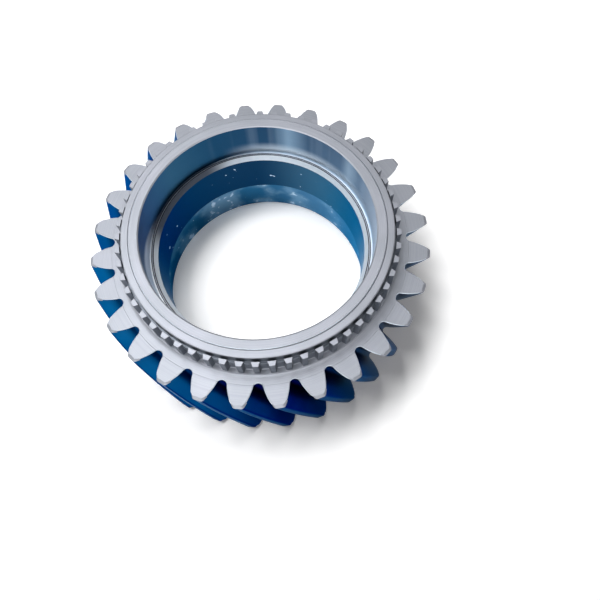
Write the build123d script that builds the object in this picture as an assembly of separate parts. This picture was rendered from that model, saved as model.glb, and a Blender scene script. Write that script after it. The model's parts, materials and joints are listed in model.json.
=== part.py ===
from build123d import *
import math
import os

# Helical gear with a dog-tooth ring, lying flat: axis on Z, underside on z = 0, millimetres.

# ---- driving dimensions -------------------------------------------------------------
teeth = 28                 # external helical teeth
normal_module = 4.5
pressure_angle = 20.0      # in the normal plane
helix_angle = 19.0         # at the pitch circle, left hand
tip_radius = 72.4
tooth_depth = 10.1
tooth_thickness = 9.1      # along the pitch circle, measured square to the axis
root_round = 1.35          # height of the rounded bottom of each tooth space
root_flats = 5             # narrow flats that make up that rounding
helix_steps = 3            # ruled lengths that make up the helix between the bevelled ends
end_step = 2.0             # the short ruled length at each bevelled end
face_width = 48.0
tip_bevel_top = 0.9
tip_bevel_foot = 1.6
overcut = 0.2              # how far the bevelling tool runs past the tips

foot_height = 2.0          # turned foot ring under the teeth
foot_radius = 61.0
rim_face = foot_height + face_width

seat_bore = 97.0           # the bearing seat at each end
shoulder_bore = 90.5       # the land between the two seats
seat_floor = rim_face - 5.1
shoulder_lip = 1.9         # turned bevel round the upper edge of the land
shoulder_under = 21.8
relief = 0.8               # undercut at the bottom of the upper seat, and its height
relief_height = 1.1
edge_break = 0.5

collar_radius = 55.8
collar_top = rim_face + 12.8
collar_land = 0.5          # the inner half of the collar top stands this much proud
land_radius = 52.6

dog_teeth = 58
dog_top = rim_face + 11.5
dog_root_radius = 56.9
dog_tip_radius = 58.7
dog_root_angle = 3.5       # degrees taken by one dog tooth at its root and at its tip
dog_tip_angle = 2.1
dog_offset = 2.65          # degrees from the X axis to the first dog tooth
dog_gutter = 3.0           # depth of the open gutter between the dog teeth and the collar
dog_ledge = 2.8            # the dog teeth stand on a ledge this high, filleted down to the face
ledge_radius = 59.0

# ---- tooth geometry that follows from them ------------------------------------------
transverse_module = normal_module / math.cos(math.radians(helix_angle))
transverse_pressure = math.atan(math.tan(math.radians(pressure_angle)) / math.cos(math.radians(helix_angle)))
pitch_radius = teeth * transverse_module / 2
base_radius = pitch_radius * math.cos(transverse_pressure)
root_radius = tip_radius - tooth_depth
tooth_pitch = 2 * math.pi / teeth
twist = math.degrees(face_width * math.tan(math.radians(helix_angle)) / pitch_radius)


def polar(radius, angle):
    return (radius * math.cos(angle), radius * math.sin(angle))


def involute(angle):
    return math.tan(angle) - angle


def half_tooth(radius):
    """Angle from the tooth's middle to its involute flank at this radius."""
    at_pitch = tooth_thickness / (2 * pitch_radius)
    return at_pitch + involute(transverse_pressure) - involute(math.acos(base_radius / radius))


# ---- helical rim: one transverse section, turned as it rises --------------------------
flank_foot = root_radius + root_round
flank_radii = [flank_foot, (flank_foot + tip_radius) / 2, tip_radius]
section_edges = []
for tooth in range(teeth):
    middle = tooth * tooth_pitch
    rising = [polar(r, middle - half_tooth(r)) for r in flank_radii]
    falling = [polar(r, middle + half_tooth(r)) for r in reversed(flank_radii)]
    next_foot = polar(flank_foot, middle + tooth_pitch - half_tooth(flank_foot))
    section_edges.append(Edge.make_spline([Vector(*p) for p in rising]))
    section_edges.append(Edge.make_line(rising[-1], falling[0]))
    section_edges.append(Edge.make_spline([Vector(*p) for p in falling]))
    rounding = Edge.make_three_point_arc(falling[-1], polar(root_radius, middle + tooth_pitch / 2), next_foot)
    bottom = [rounding.position_at(step / root_flats) for step in range(root_flats + 1)]
    section_edges += [Edge.make_line(start, end) for start, end in zip(bottom, bottom[1:])]

section = Wire(section_edges)
middle_width = face_width - 2 * end_step
middle_heights = [end_step + middle_width * step / helix_steps for step in range(helix_steps + 1)]
sections = [
    section.moved(Location((0, 0, foot_height + height), (0, 0, twist * (1 - height / face_width))))
    for height in [0, *middle_heights, face_width]]
rim = Solid.make_loft(sections, ruled=True)

# ---- turned outline of the rim: a bevel at both ends of every tip -------------------------
turned_outline = Polygon(
    (0, foot_height), (tip_radius - tip_bevel_foot, foot_height),
    (tip_radius + overcut, foot_height + tip_bevel_foot + overcut),
    (tip_radius + overcut, rim_face - tip_bevel_top - overcut), (tip_radius - tip_bevel_top, rim_face),
    (0, rim_face), align=None)
rim = rim & revolve(Plane.XZ * turned_outline, Axis.Z)

# ---- foot ring, the ledge with its fillet, and the collar ---------------------------------
fillet = [
    (ledge_radius + dog_ledge * (1 - math.cos(turn)), rim_face + dog_ledge * (1 - math.sin(turn)))
    for turn in (math.pi / 2, math.pi / 4, 0)]
blank = Polygon(
    (0, 0), (foot_radius, 0), (foot_radius, rim_face - 1), (fillet[0][0], rim_face - 1), *fillet,
    (dog_root_radius, rim_face + dog_ledge), (dog_root_radius, dog_top - dog_gutter),
    (collar_radius, dog_top - dog_gutter), (collar_radius, collar_top - edge_break),
    (collar_radius - edge_break, collar_top), (land_radius, collar_top),
    (land_radius, collar_top + collar_land), (0, collar_top + collar_land),
    align=None)
body = rim + revolve(Plane.XZ * blank, Axis.Z)

# ---- ring of dog teeth ----------------------------------------------------------------
dog_pitch = 360 / dog_teeth
half_root = math.radians(dog_root_angle / 2)
half_tip = math.radians(dog_tip_angle / 2)
dog_base = dog_root_radius - 0.05
dog_points = [
    polar(dog_base, -half_root), polar(dog_tip_radius, -half_tip),
    polar(dog_tip_radius, half_tip), polar(dog_base, half_root)]
dog_tooth = extrude(Plane.XY.offset(rim_face) * Polygon(*dog_points, align=None), dog_top - rim_face)
dogs = [dog_tooth.rotate(Axis.Z, dog_offset + count * dog_pitch) for count in range(dog_teeth)]
body = body + dogs

# ---- the bore: upper seat, relief, bevelled land, lower seat ----------------------------
seat = seat_bore / 2
land = shoulder_bore / 2
bore = Polygon(
    (0, -1), (seat + edge_break + 1, -1), (seat + edge_break, 0), (seat, edge_break),
    (seat, shoulder_under), (land + edge_break, shoulder_under), (land, shoulder_under + edge_break),
    (land, seat_floor - shoulder_lip), (land + 0.8 * shoulder_lip, seat_floor),
    (seat + relief, seat_floor), (seat + relief, seat_floor + relief_height),
    (seat, seat_floor + relief_height), (seat, collar_top + collar_land - edge_break),
    (seat + edge_break, collar_top + collar_land), (seat + edge_break + 1, collar_top + collar_land + 1),
    (0, collar_top + collar_land + 1),
    align=None)
gear = body - revolve(Plane.XZ * bore, Axis.Z)

os.makedirs("parts", exist_ok=True)
export_step(gear, "parts/gear.step")
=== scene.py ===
import json
import math

import bpy
from mathutils import Matrix, Vector


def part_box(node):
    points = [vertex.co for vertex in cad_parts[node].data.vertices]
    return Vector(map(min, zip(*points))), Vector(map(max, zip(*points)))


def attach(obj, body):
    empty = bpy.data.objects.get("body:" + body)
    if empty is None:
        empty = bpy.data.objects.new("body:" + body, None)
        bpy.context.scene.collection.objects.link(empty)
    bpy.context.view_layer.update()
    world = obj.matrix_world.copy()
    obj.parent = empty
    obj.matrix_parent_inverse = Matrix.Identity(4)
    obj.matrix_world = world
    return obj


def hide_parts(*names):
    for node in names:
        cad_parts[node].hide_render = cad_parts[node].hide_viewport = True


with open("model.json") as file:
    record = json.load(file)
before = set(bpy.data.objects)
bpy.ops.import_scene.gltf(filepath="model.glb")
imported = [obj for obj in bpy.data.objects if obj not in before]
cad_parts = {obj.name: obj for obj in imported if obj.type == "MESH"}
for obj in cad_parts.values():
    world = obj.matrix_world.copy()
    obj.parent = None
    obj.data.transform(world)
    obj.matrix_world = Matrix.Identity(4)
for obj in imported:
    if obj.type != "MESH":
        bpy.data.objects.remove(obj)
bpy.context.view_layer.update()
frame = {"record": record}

# ---- The gear ring --------------------------------------------------------------------------
# One forged steel ring: helical teeth hobbed round the outside, a turned collar standing on the
# upper face, and a stepped bore ground at the top for a bearing. The spaces between the teeth and
# the lower bore carry a glossy blue coat, and the faces were turned bright after it.

low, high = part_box("gear")
mounts = frame["record"]["mounts"]
bores = {mount["name"]: mount["dims"]["r_mm"] for mount in mounts if mount["kind"] == "bore"}
mm = 0.001                      # the gear's sizes are in millimetres, and all else is in metres

# the rim and its teeth
teeth = 28
tip_radius = (high[0] - low[0]) / 2 / mm
total_height = high[2] / mm
rim_face = total_height - 13.3
tooth_depth = 10.1
tooth_thickness = 9.1           # along the pitch circle
root_round = 1.35               # height of the rounded bottom of each space
pitch_radius = 66.63
base_radius = 62.18
pressure = math.acos(base_radius / pitch_radius)
helix_twist = math.radians(14.21)
foot_height = 2.0
foot_radius = 61.0
foot_break = 0.5
tip_corner = 0.7
tip_bevel_foot = 1.6
tip_bevel_top = 1.2
tip_bevel_drop = 0.8
bevel_reach = 2.2               # how far in from the tips the upper bevel is turned bright
bevel_fade = 2.6                # how far in from the tips it has narrowed to a broken edge
edge_break = 0.22

# the step in the upper face, the ledge, and the gutter between the dog teeth and the collar
boss_radius = 63.1
boss_height = 0.15
fillet = 0.9
fillet_reach = 1.7
ledge_radius = 59.0
ledge_top = rim_face + boss_height + fillet
ledge_corner = 0.25
dog_foot_radius = 56.9
gutter_floor = rim_face + 8.2
gutter_corner = 0.2

# the collar: its outer edge is rounded, and a fine line parts its top from the inner land
collar_radius = 55.8
collar_top = total_height - 0.5
collar_round = ((0.0, 0.4), (0.15, 0.12), (0.4, 0.0))       # how far in and how far down
land_radius = 52.6
line_outer = 0.35
line_inner = 0.15
line_depth = 0.3
land_edge_width = 0.2
land_edge_drop = 0.18
land_fall = 0.15                # the land slopes down this much to the bore

# the bore: bearing seats above and below, and a land with a bevelled lip between them
seat = bores["upper_seat"]
land = bores["shaft_bore"]
lower_seat = bores["lower_seat"]
seat_floor = rim_face - 5.1
first_groove = seat - 0.65      # the outer edges of two fine grooves in the seat's floor
second_groove = seat - 1.4
groove_slope = 0.15
groove_depth = 0.25
lip_height = 1.9
lip_width = 0.8 * lip_height
shoulder_under = 21.8
bore_chamfer = 0.5

# how many steps each stretch of the section is drawn in
tip_land_steps = 3
corner_steps = 3
flank_steps = 9
root_steps = 6
helix_steps = 16
fillet_steps = 6
seat_steps = 6
land_wall_steps = 6
lower_seat_steps = 5
underside_steps = 8

TURNED, COATED, GROUND, EDGE, CUT_SHADED, LIP = range(6)


def involute(angle):
    return math.tan(angle) - angle


def half_tooth(radius):
    """Angle from the tooth's middle to its flank at this radius."""
    at_pitch = tooth_thickness / (2 * pitch_radius) + involute(pressure)
    return at_pitch - involute(math.acos(min(1.0, base_radius / radius)))


def polar(radius, angle):
    return Vector((radius * math.cos(angle), radius * math.sin(angle)))


# half a tooth and half the space beside it: tip land, rounded corner, involute flank, round bottom
corner_angle = half_tooth(tip_radius)
land_angle = corner_angle - tip_corner / tip_radius
half_outline = [polar(tip_radius, land_angle * step / tip_land_steps) for step in range(tip_land_steps + 1)]
flank_top = tip_radius - tip_corner
corner = polar(tip_radius, corner_angle)
corner_start = half_outline[-1]
corner_end = polar(flank_top, half_tooth(flank_top))
for step in range(1, corner_steps + 1):
    t = step / corner_steps
    half_outline.append((1 - t) ** 2 * corner_start + 2 * t * (1 - t) * corner + t * t * corner_end)
flank_foot = tip_radius - tooth_depth + root_round
for step in range(1, flank_steps + 1):
    radius = flank_top + (flank_foot - flank_top) * step / flank_steps
    half_outline.append(polar(radius, half_tooth(radius)))
space_middle = math.pi / teeth
flank_end = half_outline[-1]
bottom = polar(tip_radius - tooth_depth, space_middle)
chord_distance = flank_end.length * math.cos(space_middle - half_tooth(flank_foot))
chord_middle = polar(chord_distance, space_middle)
sag = (chord_middle - bottom).length
arc_radius = ((flank_end - chord_middle).length ** 2 + sag ** 2) / (2 * sag)
arc_centre = polar(bottom.length + arc_radius, space_middle)
arc_turn = (flank_end - arc_centre).angle(bottom - arc_centre)
for step in reversed(range(root_steps)):
    angle = space_middle - math.pi + arc_turn * step / root_steps
    half_outline.append(arc_centre + polar(arc_radius, angle))
outline = [Vector((p.x, -p.y)) for p in reversed(half_outline)] + half_outline[1:]
columns = len(outline)

# the same outline drawn in by the width of the broken edge, and further in round the tip
inset = []
for index, point in enumerate(outline):
    if index in (0, columns - 1):
        inward = -point.normalized()
    else:
        along = (outline[index + 1] - outline[index - 1]).normalized()
        inward = Vector((-along.y, along.x))
    near_tip = min(max((point.length - tip_radius + bevel_fade) / bevel_fade, 0.0), 1.0)
    inset.append(point + inward * (edge_break + (tip_bevel_top - edge_break) * near_tip ** 2))


def at_most(points, limit):
    """The points, drawn in to this radius where they lie outside it."""
    return [p * min(1.0, limit / p.length) for p in points]


def face_height(radius):
    """The upper face rises by the fine step of the boss, just outside its edge."""
    return rim_face + min(max(boss_radius + boss_height - radius, 0.0), boss_height)


# rings of points in order round the section, and the last joins the first: each has its points,
# their heights, its share of the helix, and the finish of the faces between it and the next ring
rings = []


def ring(points, heights, lead, finish):
    """Adds a ring: one height or one finish holds for all of its points."""
    if isinstance(heights, (int, float)):
        heights = [heights] * columns
    if isinstance(finish, int):
        finish = [finish] * columns
    rings.append((points, heights, lead, finish))


def turned(radius, height, finish, lead=1.0):
    """Adds a round ring, as a lathe would leave it."""
    ring([p.normalized() * radius for p in outline], height, lead, finish)


def wall(radius, upper, lower, steps, finish):
    """Evenly spaced rings down a straight wall, all but the one at its lower end."""
    for step in range(steps):
        turned(radius, upper - (upper - lower) * step / steps, finish)


# the bevelled lower ends of the teeth, then the flanks as they climb round the helix
rim_width = rim_face - foot_height
bevel_foot_radius = tip_radius - tip_bevel_foot
ring(at_most(outline, bevel_foot_radius - edge_break), foot_height, 0.0, COATED)
foot_bevel = at_most(outline, bevel_foot_radius + edge_break)
ring(foot_bevel, foot_height + edge_break, edge_break / rim_width, COATED)
lowest = foot_height + tip_bevel_foot
highest = rim_face - tip_bevel_drop
for step in range(helix_steps):
    height = lowest + (highest - lowest) * step / helix_steps
    ring(outline, height, (height - foot_height) / rim_width, COATED)

# the bevel turned on the upper ends of the teeth, narrowing to a broken edge down the flanks
on_bevel = [p.length > tip_radius - bevel_reach for p in outline]
bevel_finish = [TURNED if bevel else COATED for bevel in on_bevel]
ring(outline, highest, (highest - foot_height) / rim_width, bevel_finish)
half_way = []
half_heights = []
for outer, inner, bevel in zip(outline, inset, on_bevel):
    half_way.append(outer.lerp(inner, 0.5) if bevel else outer)
    flank_height = face_height(outer.length) - edge_break
    half_heights.append(rim_face - tip_bevel_drop / 2 if bevel else flank_height)
ring(half_way, half_heights, 1.0, [TURNED if bevel else EDGE for bevel in on_bevel])

# the upper face, its fine step, and the fillet up to the ledge
for limit in (tip_radius, boss_radius + boss_height, boss_radius):
    drawn = at_most(inset, limit)
    ring(drawn, [face_height(p.length) for p in drawn], 1.0, TURNED)
for step in range(fillet_steps + 1):
    lean = math.pi / 2 * (1 - step / fillet_steps)
    height = ledge_top - fillet * math.sin(lean)
    turned(ledge_radius + fillet_reach * (1 - math.cos(lean)), height, TURNED)

# the wall between the dog teeth, the gutter behind them, and the collar
turned(dog_foot_radius + ledge_corner, ledge_top, TURNED)
turned(dog_foot_radius, ledge_top + ledge_corner, CUT_SHADED)
turned(dog_foot_radius, gutter_floor - gutter_corner, CUT_SHADED)
turned(dog_foot_radius - gutter_corner, gutter_floor, CUT_SHADED)
turned(collar_radius + gutter_corner, gutter_floor, CUT_SHADED)
turned(collar_radius, gutter_floor + gutter_corner, CUT_SHADED)
for inward, down in collar_round:
    turned(collar_radius - inward, collar_top - down, TURNED)
turned(land_radius + line_outer, collar_top, TURNED)
turned(land_radius + line_inner, collar_top - line_depth, TURNED)
turned(land_radius, collar_top - line_depth, TURNED)
turned(land_radius, total_height - land_edge_drop, EDGE)
turned(land_radius - land_edge_width, total_height, TURNED)

# down the bore: chamfer, ground seat, two fine grooves in its floor, lip, land and lower seat
turned(seat + bore_chamfer, total_height - land_fall, TURNED)
wall(seat, total_height - bore_chamfer, seat_floor, seat_steps, GROUND)
turned(seat, seat_floor, LIP)
turned(first_groove, seat_floor, CUT_SHADED)
turned(first_groove - groove_slope, seat_floor - groove_depth, CUT_SHADED)
turned(first_groove - 2 * groove_slope, seat_floor, TURNED)
turned(second_groove, seat_floor, CUT_SHADED)
turned(second_groove - groove_slope, seat_floor - groove_depth, CUT_SHADED)
turned(land + lip_width, seat_floor, LIP)
wall(land, seat_floor - lip_height, shoulder_under + bore_chamfer, land_wall_steps, COATED)
turned(land, shoulder_under + bore_chamfer, COATED)
turned(land + bore_chamfer, shoulder_under, COATED)
wall(lower_seat, shoulder_under, bore_chamfer, lower_seat_steps, COATED)
turned(lower_seat, bore_chamfer, COATED)

# the underside, where the rings turn back to where the helix starts, and the foot ring
underside_inner = lower_seat + bore_chamfer
underside_outer = foot_radius - foot_break
for step in range(underside_steps + 1):
    radius = underside_inner + (underside_outer - underside_inner) * step / underside_steps
    turned(radius, 0.0, TURNED, 1 - step / underside_steps)
turned(foot_radius, foot_break, COATED, 0.0)
turned(foot_radius, foot_height, COATED, 0.0)

sector = bpy.data.meshes.new("gear_sector")
points = []
shares = []
faces = []
finishes = []
for index, (line, heights, lead, finish) in enumerate(rings):
    points += [(mm * p.x, mm * p.y, mm * z) for p, z in zip(line, heights)]
    shares += [lead] * columns
    here = index * columns
    after = (index + 1) % len(rings) * columns
    for column in range(columns - 1):
        faces.append((here + column, here + column + 1, after + column + 1, after + column))
        finishes.append(finish[column])
sector.from_pydata(points, [], faces)
lead_values = sector.attributes.new("lead", "FLOAT", "POINT")
lead_values.data.foreach_set("value", shares)
finish_values = sector.attributes.new("finish", "INT", "FACE")
finish_values.data.foreach_set("value", finishes)


class Port:
    """One output of a node; arithmetic on it puts in the Math nodes."""

    def __init__(self, tree, socket):
        self.tree = tree
        self.socket = socket

    def add(self, kind, settings=None, sockets=None, output=0):
        """A new node of any kind: its settings first, then the values or links of its sockets."""
        node = self.tree.nodes.new(kind)
        for name, value in (settings or {}).items():
            if name == "stops":
                while len(node.color_ramp.elements) < len(value):
                    node.color_ramp.elements.new(1.0)
                for element, (place, shade) in zip(node.color_ramp.elements, value):
                    element.position = place
                    element.color = shade
            else:
                setattr(node, name, value)
        for key, value in (sockets or {}).items():
            if isinstance(value, Port):
                self.tree.links.new(value.socket, node.inputs[key])
            else:
                node.inputs[key].default_value = value
        return Port(self.tree, node.outputs[output] if len(node.outputs) else node)

    def out(self, key):
        """Another output of the same node."""
        return Port(self.tree, self.socket.node.outputs[key])

    def math(self, operation, first, second=0.0):
        return self.add("ShaderNodeMath", {"operation": operation}, {0: first, 1: second})

    def __add__(self, other):
        return self.math("ADD", self, other)

    def __radd__(self, other):
        return self.math("ADD", other, self)

    def __sub__(self, other):
        return self.math("SUBTRACT", self, other)

    def __rsub__(self, other):
        return self.math("SUBTRACT", other, self)

    def __mul__(self, other):
        return self.math("MULTIPLY", self, other)

    def __rmul__(self, other):
        return self.math("MULTIPLY", other, self)

    def __rtruediv__(self, other):
        return self.math("DIVIDE", other, self)


def colour(red, green, blue):
    """A paint-chart colour, 0 to 255, as the renderer's light values and full cover."""
    light = [((c / 255 + 0.055) / 1.055) ** 2.4 if c > 10 else c / 3294.6 for c in (red, green, blue)]
    return (*light, 1.0)


def material(name):
    """An empty material and a port to start its nodes from."""
    made = bpy.data.materials.new(name)
    made.use_nodes = True
    made.node_tree.nodes.clear()
    return made, Port(made.node_tree, None)


def position(start):
    """Where a point lies: its place, its distance from the axis, its turn about it, its height."""
    place = start.add("ShaderNodeTexCoord").out("Object")
    parts = start.add("ShaderNodeSeparateXYZ", None, {0: place})
    x = parts.out("X")
    y = parts.out("Y")
    radius = start.math("SQRT", x * x + y * y)
    turn = start.math("ARCTAN2", y, x)
    return place, radius, turn, parts.out("Z")


def smooth(start, value, edge_from, edge_to, before=0.0, after=1.0):
    """Eases from one level to the other as the value passes from the first edge to the second."""
    return start.add("ShaderNodeMapRange", {"interpolation_type": "SMOOTHSTEP"}, {
        "Value": value, "From Min": edge_from, "From Max": edge_to, "To Min": before, "To Max": after})


def towards(start, turn, side, edge_from, edge_to):
    """1 on the side at this angle round the axis, easing to 0 away from it."""
    return smooth(start, start.math("COSINE", turn - side), edge_from, edge_to)


def noise(start, place, scale, detail, distortion=0.0):
    return start.add("ShaderNodeTexNoise", None, {
        "Vector": place, "Scale": scale, "Detail": detail, "Distortion": distortion})


def mix(start, factor, first, second):
    return start.add("ShaderNodeMix", {"data_type": "RGBA"}, {0: factor, 6: first, 7: second}, 2)


def finish_surface(start, sockets):
    shader = start.add("ShaderNodeBsdfPrincipled", None, sockets)
    start.add("ShaderNodeOutputMaterial", None, {"Surface": shader})


# turned faces: fine concentric tool lines, and faint patches where the steel dried unevenly
turned_steel, start = material("turned_steel")
place, radius, turn, height = position(start)
lines = start.add("ShaderNodeTexNoise", {"noise_dimensions": "2D"}, {
    "Vector": start.add("ShaderNodeCombineXYZ", None, {0: radius * 2600, 1: turn * 0.7, 2: height * 2600}),
    "Scale": 1.0, "Detail": 3.0})
patches = noise(start, place, 45.0, 3.0)
tone = mix(start, smooth(start, patches, 0.35, 0.7), colour(162, 166, 174), colour(170, 173, 182))
tone = mix(start, smooth(start, lines, 0.35, 0.65) * 0.3, tone, colour(148, 152, 164))
bump = start.add("ShaderNodeBump", None, {"Strength": 0.1, "Distance": 0.0001, "Height": lines})
finish_surface(start, {
    "Base Color": tone, "Metallic": 0.9, "Roughness": 0.50 + 0.08 * lines, "Normal": bump})

# blue coat: deep and glossy, painted lighter on the left and darker on the right as the light falls,
# with painted shade in the roots and along the tip lands; paler in the bore, greyed on the land's wall
# and pale and clouded on the lower seat, where both are painted lighter towards the right
blue_coat, start = material("blue_coat")
place, radius, turn, height = position(start)
tip = mm * tip_radius
under = mm * shoulder_under
in_bore = smooth(start, radius, 0.055, 0.050)
below_land = smooth(start, height, under, under - 0.0008)
to_right = towards(start, turn, 0.0, 0.0, 0.9)
to_left = towards(start, turn, 3.3, 0.1, 1.0)
clouds = noise(start, place, 60.0, 4.0)
wisps = noise(start, place, 240.0, 4.0, 0.6)
specks = noise(start, place, 420.0, 1.0)
# painted light: the coat lighter blue on the left, where the light falls, and darker on the right
tone = mix(start, to_left, colour(8, 32, 78), colour(20, 88, 138))
tone = mix(start, smooth(start, clouds, 0.3, 0.7) * 0.5, tone, colour(12, 56, 104))
# painted shade: the coat darkened down into the roots of the spaces, less so on the lit left
root_shade = smooth(start, radius, tip - 0.0039, tip - 0.0092) * (1 - in_bore)
tone = mix(start, root_shade * (0.95 - 0.35 * to_left), tone, colour(1, 10, 38))
# painted shade: the tip lands darkened so they don't catch the light
tip_land_shade = smooth(start, radius, tip - 0.0008, tip - 0.0002)
tone = mix(start, tip_land_shade * 0.8, tone, colour(4, 26, 68))
# painted light: the land's wall and the lower seat lighter towards the right, where the light falls
walls = mix(start, to_right, colour(30, 50, 74), colour(76, 104, 124))
seats = mix(start, to_right, colour(50, 96, 130), colour(96, 132, 162))
seats = mix(start, smooth(start, clouds, 0.42, 0.62) * 0.5, seats, colour(140, 176, 200))
tone = mix(start, in_bore, tone, mix(start, below_land, walls, seats))
flecks = smooth(start, wisps, 0.56, 0.66) * smooth(start, clouds, 0.52, 0.62)
tone = mix(start, in_bore * (flecks * below_land * 0.7), tone, colour(214, 232, 246))
tone = mix(start, in_bore * smooth(start, specks, 0.75, 0.79), tone, colour(190, 210, 232))
bump = start.add("ShaderNodeBump", None, {"Strength": 0.2, "Distance": 0.0002, "Height": clouds})
finish_surface(start, {
    "Base Color": tone, "Metallic": 1.0, "Roughness": 0.28,
    "Specular Tint": (0.18, 0.43, 0.70, 1), "Normal": bump})

# ground bore: painted reflections, blue on one side and pale on the other, with fine upright streaks
# painted as highlights, a painted reflection over its foot and a pale wedge on the left; the tones go
# once round it, from the left through the front
ground_steel, start = material("ground_steel")
_, _, turn, height = position(start)
floor = mm * seat_floor
lines = start.add("ShaderNodeTexNoise", {"noise_dimensions": "2D"}, {
    "Vector": start.add("ShaderNodeCombineXYZ", None, {0: height * 4000, 1: turn * 1.5}),
    "Scale": 1.0, "Detail": 2.0})
streaks = start.add("ShaderNodeTexNoise", {"noise_dimensions": "1D"}, {
    "W": turn * 5, "Scale": 1.0, "Detail": 2.0})
# painted reflection: the blues and pales round the wall stand for what the ground steel mirrors
reflection_tones = (
    (0.0, (18, 56, 116)), (0.10, (74, 98, 124)), (0.25, (116, 136, 156)), (0.48, (216, 224, 234)),
    (0.56, (104, 126, 150)), (0.585, (150, 172, 192)), (0.60, (84, 108, 134)),
    (0.66, (62, 86, 112)), (0.69, (120, 148, 172)), (0.715, (34, 66, 96)), (0.80, (20, 62, 92)),
    (0.88, (38, 80, 108)), (1.0, (18, 56, 116)))
tone = start.add("ShaderNodeValToRGB", {"stops": [(at, colour(*shade)) for at, shade in reflection_tones]}, {
    0: turn * (0.5 / math.pi) + 0.5})
# painted highlights: pale upright streaks on the wall, towards the right
streak_highlights = smooth(start, streaks, 0.5, 0.7) * (towards(start, turn, 0.4, -0.2, 0.8) * 0.15)
tone = mix(start, streak_highlights, tone, colour(176, 194, 212))
# painted reflection: a pale glow over the wall's foot, towards the right back
foot_reflection = smooth(start, height, floor + 0.008, floor + 0.001) * towards(start, turn, 0.7, 0.4, 0.9)
tone = mix(start, foot_reflection * 0.8, tone, colour(206, 220, 232))
wedge_top = floor + (0.45 - start.math("SINE", turn)) * 0.019
on_left = smooth(start, start.math("COSINE", turn), -0.6, -0.75)
wedge = smooth(start, wedge_top - height, -0.001, 0.003) * on_left
tone = mix(start, wedge * 0.85, tone, colour(226, 232, 244))
tone = mix(start, lines * 0.15, tone, colour(20, 40, 60))
finish_surface(start, {
    "Base Color": tone, "Metallic": 1.0, "Roughness": 0.3, "Specular Tint": (0.62, 0.72, 0.82, 1)})

# broken edges: metal painted lighter than the turned faces, as a highlight along them
bright_edge, start = material("bright_edge")
place, _, _, _ = position(start)
marks = noise(start, place, 900.0, 2.0)
finish_surface(start, {
    "Base Color": mix(start, marks, colour(196, 208, 218), colour(210, 220, 230)),
    "Metallic": 0.9, "Roughness": 0.34})

# lip of the land and outer strip of the seat's floor: satin and pale, painted whitest on the left as
# the light falls there, with one dark blue patch at the back left
satin_lip, start = material("satin_lip")
place, _, turn, _ = position(start)
marks = noise(start, place, 500.0, 2.0)
tone = mix(start, marks, colour(190, 204, 218), colour(212, 220, 228))
# painted light: the lip made whiter on the left
on_left = smooth(start, start.math("COSINE", turn), 0.0, -0.9)
tone = mix(start, on_left, tone, colour(240, 245, 250))
back_left_patch = towards(start, turn, 2.42, 0.78, 0.94)
finish_surface(start, {
    "Base Color": mix(start, back_left_patch * 0.9, tone, colour(26, 44, 70)),
    "Metallic": 0.25, "Roughness": 0.35})

# cut steel of the dog tooth sides and gutter, painted darker than the turned faces as shade, with a
# random tone over it, and the grooves in the seat's floor painted near black as shade
cut_steel, start = material("cut_steel")
place, radius, _, _ = position(start)
grime = noise(start, place, 300.0, 3.0)
# painted shade: the grooves in the seat's floor near black
groove_shade = smooth(start, radius, mm * seat + 0.0015, mm * seat)
tone = mix(start, grime, colour(84, 90, 98), colour(122, 128, 138))
finish_surface(start, {
    "Base Color": mix(start, groove_shade, tone, colour(14, 22, 26)), "Metallic": 0.85, "Roughness": 0.42})


def named_inputs(tree, values):
    """Gives a tree its geometry in and out and one named input for each size."""
    tree.interface.new_socket("Geometry", in_out="INPUT", socket_type="NodeSocketGeometry")
    tree.interface.new_socket("Geometry", in_out="OUTPUT", socket_type="NodeSocketGeometry")
    for name, value in values.items():
        kind = "NodeSocketInt" if isinstance(value, int) else "NodeSocketFloat"
        tree.interface.new_socket(name, in_out="INPUT", socket_type=kind)
    start = Port(tree, None)
    return start, start.add("NodeGroupInput")


def around_axis(start, source, number, first):
    """Instances of the source, evenly spaced round the bore axis."""
    spots = start.add("GeometryNodeMeshLine", {"mode": "OFFSET"}, {"Count": number, "Offset": (0, 0, 0)})
    order = start.add("GeometryNodeInputIndex")
    angle = order * (2 * math.pi / number) + first
    return start.add("GeometryNodeInstanceOnPoints", None, {
        "Points": spots, "Instance": source,
        "Rotation": start.add("ShaderNodeCombineXYZ", None, {2: angle})})


def build(name, source, tree, values):
    """Runs a tree on the source mesh and returns the result as a plain piece."""
    holder = bpy.data.objects.new(name, source)
    bpy.context.scene.collection.objects.link(holder)
    modifier = holder.modifiers.new("form", "NODES")
    modifier.node_group = tree
    for item in tree.interface.items_tree:
        if item.in_out == "INPUT" and item.name in values:
            modifier[item.identifier] = values[item.name]
    ready = holder.evaluated_get(bpy.context.evaluated_depsgraph_get())
    made = bpy.data.meshes.new_from_object(ready)
    holder.modifiers.remove(modifier)
    holder.data = made
    made.name = name
    return holder


tree = bpy.data.node_groups.new("helical_ring", "GeometryNodeTree")
sizes = {"Teeth": teeth, "Twist": helix_twist}
start, given = named_inputs(tree, sizes)
ringed = start.add("GeometryNodeRealizeInstances", None, {
    0: around_axis(start, given.out("Geometry"), given.out("Teeth"), 0.0)})
closed = start.add("GeometryNodeMergeByDistance", None, {"Geometry": ringed, "Distance": 2e-6})
share = start.add("GeometryNodeInputNamedAttribute", {"data_type": "FLOAT"}, {"Name": "lead"})
swung = start.add("ShaderNodeVectorRotate", {"rotation_type": "Z_AXIS"}, {
    "Vector": start.add("GeometryNodeInputPosition"), "Angle": (1 - share) * given.out("Twist")})
shaped = start.add("GeometryNodeSetPosition", None, {"Geometry": closed, "Position": swung})
finish = start.add("GeometryNodeInputNamedAttribute", {"data_type": "INT"}, {"Name": "finish"})
surfaces = {
    TURNED: turned_steel, COATED: blue_coat, GROUND: ground_steel,
    EDGE: bright_edge, CUT_SHADED: cut_steel, LIP: satin_lip}
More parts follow.
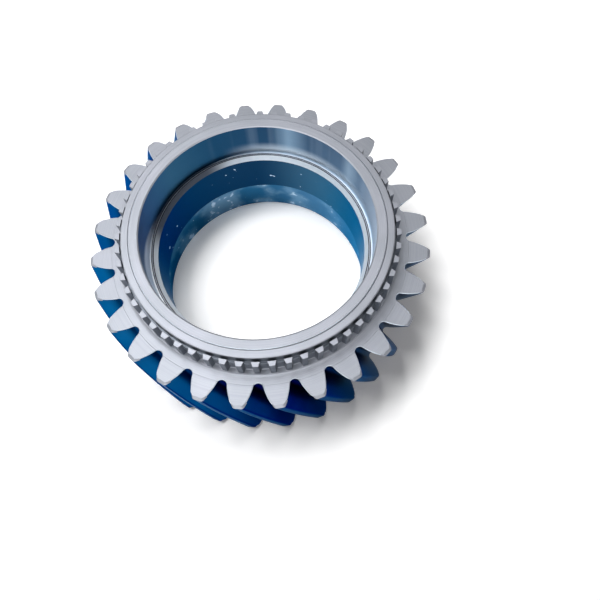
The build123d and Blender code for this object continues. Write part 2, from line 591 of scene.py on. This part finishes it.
for number, surface in surfaces.items():
    chosen = start.add("FunctionNodeCompare", {"data_type": "INT", "operation": "EQUAL"}, {
        2: finish, 3: number})
    shaped = start.add("GeometryNodeSetMaterial", None, {
        "Geometry": shaped, "Selection": chosen, "Material": surface})
start.add("NodeGroupOutput", None, {"Geometry": shaped})
gear_ring = build("gear_ring", sector, tree, sizes)
gear_ring.data.shade_smooth()
gear_ring.data.set_sharp_from_angle(angle=math.radians(24))
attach(gear_ring, "root")
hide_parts("gear")

# ---- The dog teeth --------------------------------------------------------------------------
# Small square teeth cut round the foot of the collar, where a sliding sleeve engages. Each is
# wider at its root than at its tip, and its edges are lightly broken.

dog_teeth = 58
dog_first = math.radians(2.65)
dog_root = 56.7
dog_tip = 58.7
dog_root_half = math.radians(1.75)
dog_tip_half = math.radians(1.05)
dog_top = total_height - 2.2
dog_sink = 0.4                  # how far the teeth reach down into the ledge
dog_edge = 0.1

plan = [
    polar(dog_root, -dog_root_half), polar(dog_tip, -dog_tip_half),
    polar(dog_tip, dog_tip_half), polar(dog_root, dog_root_half)]
corners = [(mm * p.x, mm * p.y, mm * z) for z in (ledge_top - dog_sink, dog_top) for p in plan]
dog_faces = [(3, 2, 1, 0), (4, 5, 6, 7)]
dog_faces += [(i, (i + 1) % 4, 4 + (i + 1) % 4, 4 + i) for i in range(4)]
dog_block = bpy.data.meshes.new("dog_tooth")
dog_block.from_pydata(corners, [], dog_faces)
dog_blank = bpy.data.objects.new("dog_tooth", dog_block)
bpy.context.scene.collection.objects.link(dog_blank)
bevel = dog_blank.modifiers.new("edges", "BEVEL")
bevel.width = mm * dog_edge
bevel.segments = 1
dog_ready = dog_blank.evaluated_get(bpy.context.evaluated_depsgraph_get())
dog_tooth = bpy.data.meshes.new_from_object(dog_ready)
bpy.data.objects.remove(dog_blank)

tree = bpy.data.node_groups.new("dog_ring", "GeometryNodeTree")
sizes = {"Dog teeth": dog_teeth, "First angle": dog_first}
start, given = named_inputs(tree, sizes)
toothed = start.add("GeometryNodeRealizeInstances", None, {
    0: around_axis(start, given.out("Geometry"), given.out("Dog teeth"), given.out("First angle"))})
# painted shade: the tooth sides take the darker cut steel and the tops the turned steel
sides = start.add("GeometryNodeSetMaterial", None, {"Geometry": toothed, "Material": cut_steel})
facing = start.add("ShaderNodeSeparateXYZ", None, {0: start.add("GeometryNodeInputNormal")})
on_top = start.add("FunctionNodeCompare", {"operation": "GREATER_THAN"}, {0: facing.out("Z"), 1: 0.6})
start.add("NodeGroupOutput", None, {"Geometry": start.add("GeometryNodeSetMaterial", None, {
    "Geometry": sides, "Selection": on_top, "Material": turned_steel})})
dog_ring = build("dog_ring", dog_tooth, tree, sizes)
dog_ring.data.shade_smooth()
dog_ring.data.set_sharp_from_angle(angle=math.radians(35))
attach(dog_ring, "root")
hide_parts("gear")

# ---- Table, light and camera -----------------------------------------------------------------
# The gear lies on a plain white table in a pale room. Two lamps give the steel its highlights, and
# two more light the table and throw the gear's soft shadow on it, to the right and the front.

table_half = 2.0                # half its width
own_glow = 0.18                 # how much of its white the table gives by itself near the gear
glow_near = 0.2                 # between these distances it turns wholly white to the camera
glow_far = 0.7


def looked_at(path):
    """1 for what the camera sees, directly or mirrored, and 0 for what only lights something."""
    rays = path.out("Is Camera Ray") + path.out("Is Glossy Ray") + path.out("Is Transmission Ray")
    return path.math("MINIMUM", rays, 1.0)


table = bpy.data.meshes.new("table")
table_corners = [(x * table_half, y * table_half, 0) for x, y in ((-1, -1), (1, -1), (1, 1), (-1, 1))]
table.from_pydata(table_corners, [], [(0, 1, 2, 3)])
table_top = bpy.data.objects.new("table", table)
bpy.context.scene.collection.objects.link(table_top)
white_top, start = material("white_top")
_, radius, _, _ = position(start)
path = start.add("ShaderNodeLightPath")
far_off = smooth(start, radius, glow_near, glow_far) * path.out("Is Camera Ray")
glow = looked_at(path) * own_glow + far_off * (1 - own_glow)
finish_surface(start, {
    "Base Color": (0.95, 0.95, 0.95, 1), "Roughness": 0.9, "Specular IOR Level": 0.0,
    "Emission Color": start.add("ShaderNodeCombineColor", None, {0: glow, 1: glow, 2: glow}),
    "Emission Strength": 1.0})
table.materials.append(white_top)

# the room: white to the camera, brighter from the front left in the steel, and dim as a light
room = bpy.data.worlds.new("room")
bpy.context.scene.world = room
room.use_nodes = True
room.node_tree.nodes.clear()
start = Port(room.node_tree, None)
path = start.add("ShaderNodeLightPath")
aim = start.add("ShaderNodeSeparateXYZ", None, {0: start.add("ShaderNodeTexCoord").out("Generated")})
to_front_left = aim.out("X") * -0.6 + aim.out("Y") * -0.8
sides = smooth(start, to_front_left, -0.5, 0.6, 0.35, 1.0)
ceiling = smooth(start, aim.out("Z"), 0.55, 0.85, sides, 0.64)
level = start.math("MAXIMUM", ceiling, path.out("Is Camera Ray"))
fill_light = start.add("ShaderNodeBackground", None, {"Color": (1, 1, 1, 1), "Strength": 0.08})
white_room = start.add("ShaderNodeBackground", None, {"Color": (1, 1, 1, 1), "Strength": level})
start.add("ShaderNodeOutputWorld", None, {
    "Surface": start.add("ShaderNodeMixShader", None, {0: looked_at(path), 1: fill_light, 2: white_room})})


def lamp(name, place, energy, size):
    """A square soft lamp, turned towards the middle of the gear."""
    light = bpy.data.lights.new(name, "AREA")
    light.energy = energy
    light.size = size
    made = bpy.data.objects.new(name, light)
    bpy.context.scene.collection.objects.link(made)
    made.location = place
    middle = Vector((0, 0, 0.03))
    made.rotation_euler = (middle - Vector(place)).to_track_quat("-Z", "Y").to_euler()
    return made


# the key and front lamps only make highlights; the side and back lamps only light what is matt
key = lamp("key", (-0.17, 0.12, 0.65), 2.0, 0.30)
key.visible_diffuse = False
front = lamp("front", (-0.15, -0.42, 0.50), 1.5, 0.40)
front.visible_diffuse = False
side = lamp("side", (-0.20, 0.03, 0.65), 3.2, 0.19)
side.visible_glossy = False
back = lamp("back", (-0.05, 0.17, 0.65), 2.3, 0.22)
back.visible_glossy = False

# the camera looks steeply down from the front; its place is in tip radii above the rim face
camera_data = bpy.data.cameras.new("camera")
camera_data.lens = 33.54
camera_data.sensor_width = 36.0
camera_data.clip_start = 0.01
camera = bpy.data.objects.new("camera", camera_data)
bpy.context.scene.collection.objects.link(camera)
camera_place = Vector((0.221, -1.537, 2.946)) * mm * tip_radius
right = Vector((1, 0, 0))
up = Vector((0, 0.93214, 0.36207))
ahead = Vector((0, 0.36207, -0.93214))
roll = math.radians(2.40)
across = math.cos(roll) * right - math.sin(roll) * up
upward = math.sin(roll) * right + math.cos(roll) * up
pointing = Matrix((across, upward, -ahead)).transposed().to_4x4()
swing = Matrix.Rotation(math.radians(-5.04), 4, "Z")
rim_level = Matrix.Translation((0, 0, mm * rim_face))
camera.matrix_world = rim_level @ swing @ Matrix.Translation(camera_place) @ pointing
bpy.context.scene.camera = camera

bpy.context.scene.view_settings.view_transform = "Standard"
